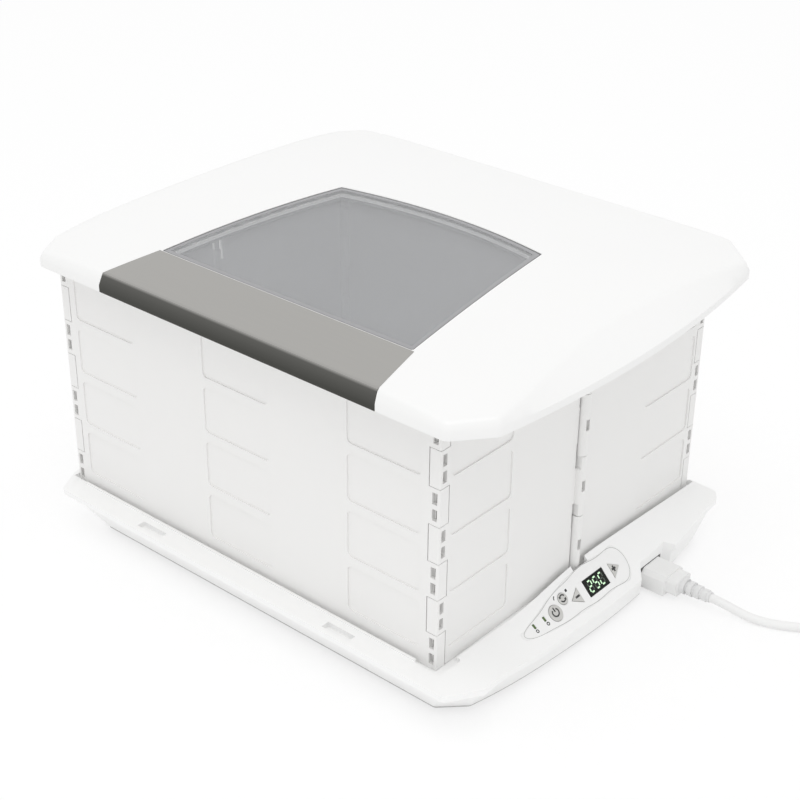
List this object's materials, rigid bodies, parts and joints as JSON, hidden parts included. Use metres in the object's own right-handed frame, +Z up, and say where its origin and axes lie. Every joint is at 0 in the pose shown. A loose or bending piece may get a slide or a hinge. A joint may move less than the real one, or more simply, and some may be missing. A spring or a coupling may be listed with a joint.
{
  "type": "folding dough proofer",
  "caption": "Heated folding box for proofing dough: shallow base with sloped controls, hinged plastic walls and a bowed lid with a window and a metal strip.",
  "frame": {"origin": "on the surface that the feet stand on, below the middle of the lid", "axes": "+X along the long walls towards the controls, +Y from the front to the back, +Z up"},
  "size_m": [0.6915, 0.369, 0.2655],
  "materials": {
    "white_plastic": "smooth satin moulding",
    "wall_plastic": "finely grained moulding, slightly see-through",
    "liner_plastic": "plain moulding",
    "grey_plastic": "fine spark texture",
    "rubber_feet": "soft matte rubber",
    "screws": "zinc-plated",
    "plate": "plain rolled sheet",
    "element": "etched foil",
    "insulation": "pressed fibre",
    "sensor": "plain cap",
    "board": "varnished glass-fibre board",
    "switches": "plain black moulding",
    "panel": "smooth film",
    "display": "dark tinted lens",
    "lights": "clear green moulding",
    "inlet": "plain black moulding",
    "contacts": "nickel-plated brass",
    "cord_rubber": "smooth light grey jacket",
    "tie": "soft strap",
    "pins": "drawn rod",
    "window": "clear polycarbonate",
    "spacer": "foam ring",
    "strip_steel": "brushed along its length",
    "tray_aluminium": "spun and lightly polished",
    "rack_chrome": "bright plated wire",
    "buttons": "smooth moulding"
  },
  "bodies": {
    "base": {"base_shell": "white_plastic", "bottom_cover": "grey_plastic", "rubber_feet": "rubber_feet", "base_screws": "screws", "heater_plate": "plate", "heating_element": "element", "insulation_board": "insulation", "temperature_sensor": "sensor", "power_board": "board", "board_posts": "grey_plastic", "control_board": "board", "button_switches": "switches", "control_panel": "panel", "display_lens": "display", "display_module": "switches", "indicator_lights": "lights", "mains_inlet": "inlet", "inlet_contacts": "contacts", "appliance_connector": "cord_rubber", "strain_relief": "cord_rubber", "cord": "cord_rubber", "cord_coil": "cord_rubber", "cord_tie": "tie", "mains_plug": "cord_rubber", "plug_blades": "contacts"},
    "lid": {"lid_shell": "white_plastic", "lid_liner": "liner_plastic", "window_outer": "window", "window_inner": "window", "window_spacer": "spacer", "front_strip": "strip_steel", "lid_screws": "screws"},
    "front_wall": {"front_wall": "wall_plastic", "right_front_hinge_pin": "pins", "left_front_hinge_pin": "pins"},
    "right_front_leaf": {"right_front_leaf": "wall_plastic", "right_middle_hinge_pin": "pins"},
    "right_back_leaf": {"right_back_leaf": "wall_plastic"},
    "back_wall": {"back_wall": "wall_plastic", "right_back_hinge_pin": "pins", "left_back_hinge_pin": "pins"},
    "left_front_leaf": {"left_front_leaf": "wall_plastic", "left_middle_hinge_pin": "pins"},
    "left_back_leaf": {"left_back_leaf": "wall_plastic"},
    "water_tray": {"water_tray": "tray_aluminium"},
    "wire_rack": {"wire_rack": "rack_chrome"},
    "power_button": {"power_button": "buttons"},
    "mode_button": {"mode_button": "buttons"},
    "minus_button": {"minus_button": "buttons"},
    "plus_button": {"plus_button": "buttons"}
  },
  "joints": [
    {"name": "walls_lift", "type": "slide", "parent": "base", "child": "front_wall", "axis": [0, 0, 1], "range_m": [0, 0.03]},
    {"name": "lid_lift", "type": "slide", "parent": "front_wall", "child": "lid", "axis": [0, 0, 1], "range_m": [0, 0.26]},
    {"name": "right_front_fold", "type": "hinge", "parent": "front_wall", "child": "right_front_leaf", "pos_m": [0.1715, -0.157, 0.14], "axis": [0, 0, 1], "range_deg": [0, 90]},
    {"name": "right_middle_fold", "type": "hinge", "parent": "right_front_leaf", "child": "right_back_leaf", "pos_m": [0.1765, 0, 0.14], "axis": [0, 0, 1], "range_deg": [-180, 0]},
    {"name": "right_back_fold", "type": "hinge", "parent": "right_back_leaf", "child": "back_wall", "pos_m": [0.1715, 0.157, 0.14], "axis": [0, 0, 1], "range_deg": [0, 90]},
    {"name": "left_front_fold", "type": "hinge", "parent": "front_wall", "child": "left_front_leaf", "pos_m": [-0.1995, -0.157, 0.14], "axis": [0, 0, 1], "range_deg": [-90, 0]},
    {"name": "left_middle_fold", "type": "hinge", "parent": "left_front_leaf", "child": "left_back_leaf", "pos_m": [-0.2045, 0, 0.14], "axis": [0, 0, 1], "range_deg": [0, 180]},
    {"name": "rack_lift", "type": "slide", "parent": "base", "child": "wire_rack", "axis": [0, 0, 1], "range_m": [0, 0.25]},
    {"name": "tray_lift", "type": "slide", "parent": "base", "child": "water_tray", "axis": [0, 0, 1], "range_m": [0, 0.235]},
    {"name": "power_press", "type": "slide", "parent": "base", "child": "power_button", "axis": [0.6947, 0, 0.7193], "range_m": [-0.0006, 0], "stiffness_N_per_m": 400},
    {"name": "mode_press", "type": "slide", "parent": "base", "child": "mode_button", "axis": [0.6947, 0, 0.7193], "range_m": [-0.0006, 0], "stiffness_N_per_m": 400},
    {"name": "minus_press", "type": "slide", "parent": "base", "child": "minus_button", "axis": [0.6947, 0, 0.7193], "range_m": [-0.0006, 0], "stiffness_N_per_m": 400},
    {"name": "plus_press", "type": "slide", "parent": "base", "child": "plus_button", "axis": [0.6947, 0, 0.7193], "range_m": [-0.0006, 0], "stiffness_N_per_m": 400}
  ],
  "couplings": [
    {"joint": "right_middle_fold", "follows": "right_front_fold", "ratio": -2},
    {"joint": "right_back_fold", "follows": "right_front_fold", "ratio": 1},
    {"joint": "left_front_fold", "follows": "right_front_fold", "ratio": -1},
    {"joint": "left_middle_fold", "follows": "right_front_fold", "ratio": 2},
    {"joint": "rack_lift", "follows": "lid_lift", "ratio": 0.96},
    {"joint": "tray_lift", "follows": "lid_lift", "ratio": 0.9}
  ]
}
